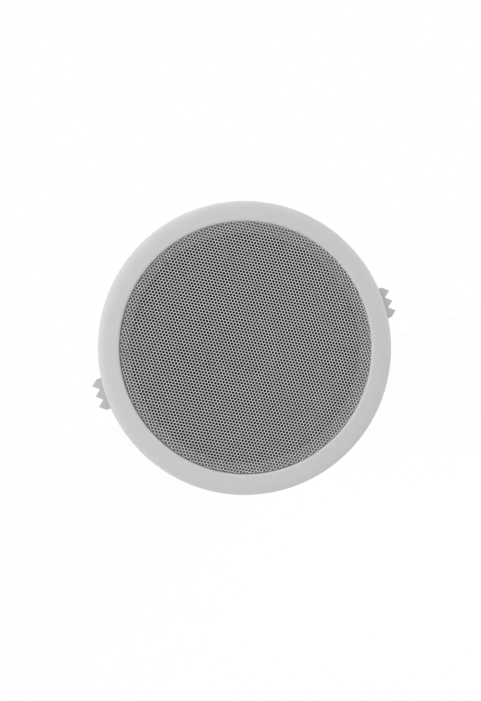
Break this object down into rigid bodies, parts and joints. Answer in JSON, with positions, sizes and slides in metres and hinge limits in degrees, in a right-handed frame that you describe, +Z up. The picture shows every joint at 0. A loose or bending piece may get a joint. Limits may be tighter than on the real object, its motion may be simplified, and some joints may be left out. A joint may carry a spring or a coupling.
{
  "type": "recessed ceiling speaker",
  "caption": "Round recessed speaker: pale bezel with a perforated grille, a driver behind it, toothed spring clips and a line transformer.",
  "frame": {"origin": "centre of the bezel's back plane, where it meets the panel", "axes": "+Y into the void behind the panel, +X through the two spring clips, +Z up; the grille faces -Y"},
  "size_m": [0.214, 0.0821, 0.2],
  "materials": {
    "bezel_plastic": "fine matt moulded ABS, light grey",
    "grille_paint": "powder coat, matt light grey",
    "gasket_foam": "closed-cell foam",
    "basket_paint": "black stoved paint",
    "surround_rubber": "matt rubber",
    "cone_paper": "black pressed pulp",
    "cap_paper": "black pressed pulp",
    "former_paper": "brown former paper",
    "coil_wire": "enamelled wire",
    "spider_cloth": "phenolic-dipped cloth",
    "plated_steel": "zinc plated",
    "magnet_ferrite": "ground ferrite",
    "phenolic_board": "brown laminate",
    "tag_brass": "tinned brass",
    "tinsel_braid": "braided copper tinsel",
    "zinc_steel": "bright zinc plated",
    "clip_paint": "matt grey coat",
    "spring_steel": "drawn spring wire",
    "black_steel": "blackened steel",
    "lamination_steel": "varnished laminations",
    "winding_tape": "yellow insulating tape",
    "block_plastic": "moulded nylon",
    "red_wire": "insulated wire",
    "black_wire": "insulated wire"
  },
  "bodies": {
    "root": {"bezel_frame": "bezel_plastic", "grille": "grille_paint", "front_gasket": "gasket_foam", "driver_basket": "basket_paint", "surround": "surround_rubber", "spider": "spider_cloth", "top_plate": "plated_steel", "magnet": "magnet_ferrite", "yoke": "plated_steel", "tag_strip": "phenolic_board", "solder_tags": "tag_brass", "tinsel_leads": "tinsel_braid", "right_bracket": "zinc_steel", "left_bracket": "zinc_steel", "right_clip_pin": "zinc_steel", "left_clip_pin": "zinc_steel", "right_clip_spring": "spring_steel", "left_clip_spring": "spring_steel", "bracket_rivets": "zinc_steel", "driver_screws": "black_steel", "rear_strap": "zinc_steel", "strap_screws": "zinc_steel", "transformer_core": "lamination_steel", "transformer_winding": "winding_tape", "transformer_clamp": "zinc_steel", "clamp_screws": "zinc_steel", "terminal_block": "block_plastic", "terminal_screws": "tag_brass", "input_wires": "red_wire", "output_wires": "black_wire"},
    "cone_assembly": {"cone": "cone_paper", "dust_cap": "cap_paper", "coil_former": "former_paper", "voice_coil": "coil_wire"},
    "right_clip": {"right_clip_arm": "clip_paint"},
    "left_clip": {"left_clip_arm": "clip_paint"}
  },
  "joints": [
    {"name": "cone_travel", "type": "slide", "parent": "root", "child": "cone_assembly", "axis": [0, 1, 0], "range_m": [-0.0025, 0.0025], "stiffness_N_per_m": 1700, "deforming": ["surround", "spider", "tinsel_leads"]},
    {"name": "right_clip_hinge", "type": "hinge", "parent": "root", "child": "right_clip", "pos_m": [0.0823, 0.0131, 0], "axis": [0, 0, 1], "range_deg": [0, 125], "stiffness_Nm_per_rad": 0.3, "springref_deg": -28.65, "deforming": ["right_clip_spring"]},
    {"name": "left_clip_hinge", "type": "hinge", "parent": "root", "child": "left_clip", "pos_m": [-0.0823, 0.0131, 0], "axis": [0, 0, -1], "range_deg": [0, 125], "stiffness_Nm_per_rad": 0.3, "springref_deg": -28.65, "deforming": ["left_clip_spring"]}
  ]
}
